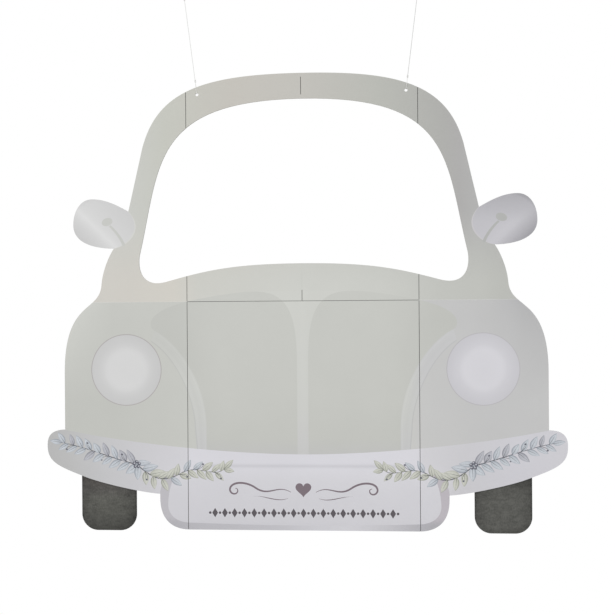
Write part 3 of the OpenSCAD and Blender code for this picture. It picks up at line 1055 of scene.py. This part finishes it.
# Garland on the bumper: two leafy branches on each side, tied together with berries
BLUE = (ink(205, 210, 216), ink(112, 120, 133))
GREEN = (ink(209, 210, 201), ink(120, 123, 107))
DUSK = (ink(192, 193, 200), ink(98, 99, 110))
STEM = ink(70, 71, 78)
TIE = (324, -314)
LEAF_GAP = 18
LEAF_LENGTH = 28
LEAF_WIDTH = 13
LEAF_SPREAD = math.radians(48)
LEAF_SWAY = 0.14
LEAF_LENGTHS = (0.88, 1.1)
LEAF_WIDTHS = (0.85, 1.12)
BUD_REACH = 15
BUD_SIZE = 2.3
BERRY_COUNT = 5
BERRY_RING = 5.2
BERRY_TURN = 0.3
BERRY_SIZES = (3.0, 3.8)
GARLAND_SEED = 11


def blended(first, second, share):
    return tuple(a + (b - a) * share for a, b in zip(first, second))


def washed(outline, tone):
    """A region of one water-colour tone."""
    return Region(outline, "wash", lambda u, v: tone)


def leaf(spot, heading, length, width, tones):
    """A pointed leaf with one shaded side, a dark foot and a fine rib."""
    ahead = pointing(heading)
    aside = ahead.orthogonal()

    def half(share):
        return width / 2 * max(math.sin(math.pi * share ** 0.8), 0.0) ** 0.85

    def rim(reach, shares):
        return [spot + ahead * length * s + aside * half(s) * reach for s in shares]

    def shape(fullness, shares):
        return rim(-fullness, shares) + rim(fullness, shares[::-1])

    def wash(u, v):
        step = Vector((u, v)) - spot
        share = min(max(step.dot(ahead) / length, 0.0), 1.0)
        side = min(max(step.dot(aside) / (half(share) + 0.01), -1.0), 1.0)
        shade = 0.3 * side ** 4 + 0.4 * max(side, 0.0) ** 2
        return blended(*tones, 0.04 + shade + 0.3 * (1 - share) ** 3)

    rib = stroke([spot, spot + ahead * length * 0.5, spot + ahead * length * 0.88],
                 lambda share: 0.7 * (1 - share) + 0.15)
    return [
        Region(shape(1.0, spread(0.02, 0.985, 9)), "wash", wash),
        Region(shape(0.55, spread(0.14, 0.8, 5)), "wash", wash),
        washed(rib, blended(tones[1], STEM, 0.6)),
    ]


def bud(spot, heading, way):
    """A small dark bud on a curved stalk."""
    ahead = pointing(heading)
    aside = ahead.orthogonal() * way
    tip = spot + ahead * BUD_REACH + aside * BUD_REACH * 0.75
    stalk = bend(spot, ahead * 7, (ahead - aside) * 3.5, tip, 8)
    head = oval(tip, BUD_SIZE, BUD_SIZE * 0.7, heading, steps=14)
    return [washed(stroke(stalk, lambda share: 1.0 - 0.4 * share), STEM), washed(head, DUSK[1])]


def branch(path, tones, chance):
    """Leaves in pairs along a stem, one at its end, and a bud beside every second pair."""
    regions = [washed(stroke(path, lambda share: 1.9 - 1.1 * share), STEM)]
    spots = along(path, LEAF_GAP)
    for number, (spot, ahead) in enumerate(spots):
        heading = math.atan2(*ahead.yx)
        size = 1.08 - 0.3 * number / len(spots)
        for way in (-1, 1):
            lean = heading + way * (LEAF_SPREAD + chance.uniform(-LEAF_SWAY, LEAF_SWAY))
            length = LEAF_LENGTH * size * chance.uniform(*LEAF_LENGTHS)
            wide = LEAF_WIDTH * size * chance.uniform(*LEAF_WIDTHS)
            start = spot + ahead * way * LEAF_GAP * 0.2
            regions += leaf(start, lean, length, wide, chance.choice(tones))
        if number % 2:
            regions += bud(spot, heading, 1 if number % 4 == 1 else -1)
    ahead = (path[-1] - path[-2]).normalized()
    tip = math.atan2(*ahead.yx)
    return regions + leaf(path[-1], tip, LEAF_LENGTH * 0.85, LEAF_WIDTH * 0.8, tones[0])


def berries(chance):
    """A small bunch of berries over the tie."""
    regions = []
    for angle in turns(BERRY_COUNT):
        spot = Vector(TIE) + pointing(angle + BERRY_TURN) * BERRY_RING
        size = chance.uniform(*BERRY_SIZES)
        glint = oval(spot + Vector((-0.8, 0.9)), size * 0.45, size * 0.4, steps=12)
        regions += [washed(oval(spot, size, size, steps=20), DUSK[1]), washed(glint, DUSK[0])]
    return regions


def garland_art():
    chance = random.Random(GARLAND_SEED)
    outer = bend(TIE, (44, 10), (-40, -6), (472, -272), 40)
    inner = chain(TIE, ((-36, -30), (36, -20), (236, -330), 30), ((-32, 18), (18, -20), (152, -321), 30))
    side = branch(outer, [BLUE, BLUE, DUSK], chance)
    side += branch(inner, [GREEN, GREEN, GREEN, BLUE], chance)
    side += berries(chance)
    return on_both_sides(side)


# Plain ornament on the plate: a heart between scrolls, over a row of lozenges and dots
HEART_SPOT = (0, -360)
HEART_SIZE = 0.95
HEART_SIDES = 48
SCROLL_WIDTH = 2.6
CURL_SPOT = (132, -362)
CURL_R = 10
CURL_TURN = 1.45 * math.pi
CURL_CLOSING = 0.72
ROW_V = -406
ROW_GAP = 19
ROW_COUNT = 10
LOZENGE_HALF = (5.6, 9)
DOT_R = 2.5


def heart_outline():
    """The usual heart curve of sines and cosines."""
    outline = []
    for a in turns(HEART_SIDES):
        u = 16 * math.sin(a) ** 3
        v = 13 * math.cos(a) - 5 * math.cos(2 * a) - 2 * math.cos(3 * a) - math.cos(4 * a)
        outline.append(Vector(HEART_SPOT) + Vector((u, v)) * HEART_SIZE)
    return outline


def scroll_path():
    """A wave that runs out from the heart and curls up at its end."""
    end = (CURL_SPOT[0] + CURL_R, CURL_SPOT[1])
    path = chain((24, -366), ((26, 16), (-26, -18), (92, -358), 24), ((22, 15), (0, 15), end, 20))
    for share in spread(0.05, 1, 24):
        reach = CURL_R * (1 - CURL_CLOSING * share)
        path.append(Vector(CURL_SPOT) + pointing(-CURL_TURN * share) * reach)
    return path


def lozenge(u):
    wide, tall = LOZENGE_HALF
    return points((u + wide, ROW_V), (u, ROW_V + tall), (u - wide, ROW_V), (u, ROW_V - tall))


def plate_art():
    taper = stroke(scroll_path(), lambda share: SCROLL_WIDTH * (0.35 + 1.1 * math.sin(math.pi * share)))
    under = bend((30, -378), (22, -8), (-22, 2), (96, -374), 20)
    sprig = stroke(under, lambda share: 1.7 * math.sin(math.pi * min(share + 0.08, 0.97)))
    row = [oval((ROW_GAP * (i - 0.5), ROW_V), DOT_R, DOT_R, steps=16) for i in range(1, ROW_COUNT + 1)]
    row += [lozenge(ROW_GAP * i) for i in range(1, ROW_COUNT)]
    side = [Region(outline, "plate_mauve") for outline in (taper, sprig)]
    side += [Region(outline, "plate_grey") for outline in row]
    middle = [Region(heart_outline(), "plate_mauve"), Region(lozenge(0), "plate_grey")]
    return middle + on_both_sides(side)


SCORE_HALF = 0.3
SCORE_DEPTH = 0.2
SCORE_FOOT = 20
SCORE_TOP = 90


def score_art():
    """The scored line above the cowl's slit, as the two slopes of a groove."""
    half = points((0, SCORE_FOOT), (SCORE_HALF, SCORE_FOOT), (SCORE_HALF, SCORE_TOP), (0, SCORE_TOP))
    return on_both_sides([Region(half, "upper")])


def score_sink(node, spot):
    """How far a front point of the print is pressed in, in metres."""
    in_line = abs(spot.x) < SCORE_HALF / 2 and spot.y >= SCORE_FOOT
    return SCORE_DEPTH * MM if node == "cowl_print" and in_line else 0.0


# Printed sheets: one closed sheet per CAD print, its ink areas let into each other
CLOSE = 1e-4
SHEETS = {
    "roof_print": "upper", "cowl_print": "upper", "bonnet_print": "lower",
    "left_pillar_print": "upper", "right_pillar_print": "upper",
    "left_wing_print": "lower", "right_wing_print": "lower",
}


def sheet_loops(node):
    """Closed loops round the node's glued face, the outer one first."""
    mesh = frame["nodes"][node].data
    cells = []
    for face in mesh.polygons:
        corners = [mesh.vertices[i].co for i in face.vertices]
        if all(c.y > CORE_Y - TOUCH for c in corners):
            cells.append([(round(c.x / MM, 4), round((c.z - FOLD_Z) / MM, 4)) for c in corners])
    onward = dict(rim_of(cells))
    loops = []
    while onward:
        start, spot = onward.popitem()
        loop = [start]
        while spot != start:
            loop.append(spot)
            spot = onward.pop(spot)
        loops.append(turned(points(*loop)))
    return sorted(loops, key=area, reverse=True)


def box_round(outline):
    """Lowest and highest corner."""
    return [[pick(p[i] for p in outline) for i in (0, 1)] for pick in (min, max)]


def near(a, b):
    """Whether two boxes overlap."""
    return all(a[0][i] < b[1][i] and a[1][i] > b[0][i] for i in (0, 1))


def make_sheet(node, base, regions, paints):
    """Cuts the sheet along all its ink outlines and gives it the sheet's thickness."""
    loops = sheet_loops(node)
    box = box_round(loops[0])
    regions = [region for region in regions if near(box_round(region.outline), box)]
    corners, cells = [], []
    for outline in loops + [turned(region.outline) for region in regions]:
        cells.append(list(range(len(corners), len(corners) + len(outline))))
        corners += outline
    spots, _, cut, _, _, parents = delaunay_2d_cdt(corners, [], cells, 0, CLOSE)
    holes = range(1, len(loops))
    kept = [i for i, within in enumerate(parents) if 0 in within and not any(h in within for h in holes)]
    owners = [max(parents[i]) - len(loops) for i in kept]
    used = sorted({corner for i in kept for corner in cut[i]})
    place = {corner: number for number, corner in enumerate(used)}
    front = [[place[corner] for corner in cut[i]] for i in kept]
    spots = [spots[corner] for corner in used]
    faces = thickened(front, len(spots))
    verts = [at(*p, FRONT_Y + score_sink(node, p)) for p in spots]
    verts += [at(*p, CORE_Y) for p in spots]
    names = list(dict.fromkeys(["edge", base, *(region.paint for region in regions)]))
    picks = [names.index(regions[owner].paint if owner >= 0 else base) for owner in owners]
    picks += [names.index("edge")] * (len(faces) - len(front))
    materials = [paints[name] for name in names]
    piece = new_piece(node.replace("print", "sheet"), verts, faces, materials, picks)
    washes = piece.data.color_attributes.new("wash", "FLOAT_COLOR", "CORNER")
    for face, owner in zip(piece.data.polygons, owners):
        wash = regions[owner].wash if owner >= 0 else None
        if wash is not None:
            for corner in face.loop_indices:
                spot = spots[piece.data.loops[corner].vertex_index]
                washes.data[corner].color = wash(*spot)
    stand_for(piece, node)


def make_sheets():
    paints = {
        "upper": paint_upper(),
        "lower": paint_lower(),
        "inset": paint_inset(),
        "strip": paint_strip(),
        **{name: paint_trim(name + "_print", lift) for name, lift in TRIM_LIFTS.items()},
        "lamp": paint_lamp(),
        **{name: paint_plain(name + "_print", *tones) for name, tones in PLAIN_TONES.items()},
        "bumper": paint_bumper(),
        "bevel": paint_bevel(),
        "mirror": paint_mirror(),
        "wash": paint_wash(),
        "edge": paint_paper_edge(),
    }
    regions = score_art() + bonnet_art() + lamp_art() + bumper_art()
    regions += mirror_art() + plate_art() + garland_art()
    for node, base in SHEETS.items():
        make_sheet(node, base, regions, paints)


# CAD nodes that stay in view
def paint_nodes():
    by_slot = {"board": paint_board(), "tyre": paint_tyre(), "pad": paint_pad()}
    for subpart in frame["record"]["subparts"]:
        material = by_slot.get(subpart["material_slot"])
        if material:
            mesh = frame["nodes"][subpart["node"]].data
            mesh.materials.clear()
            mesh.materials.append(material)


bpy.context.scene.view_settings.view_transform = "Standard"
make_camera()
make_world()
make_lamps()
make_floor()
make_cords()
make_tapes()
make_crease()
make_sheets()
paint_nodes()
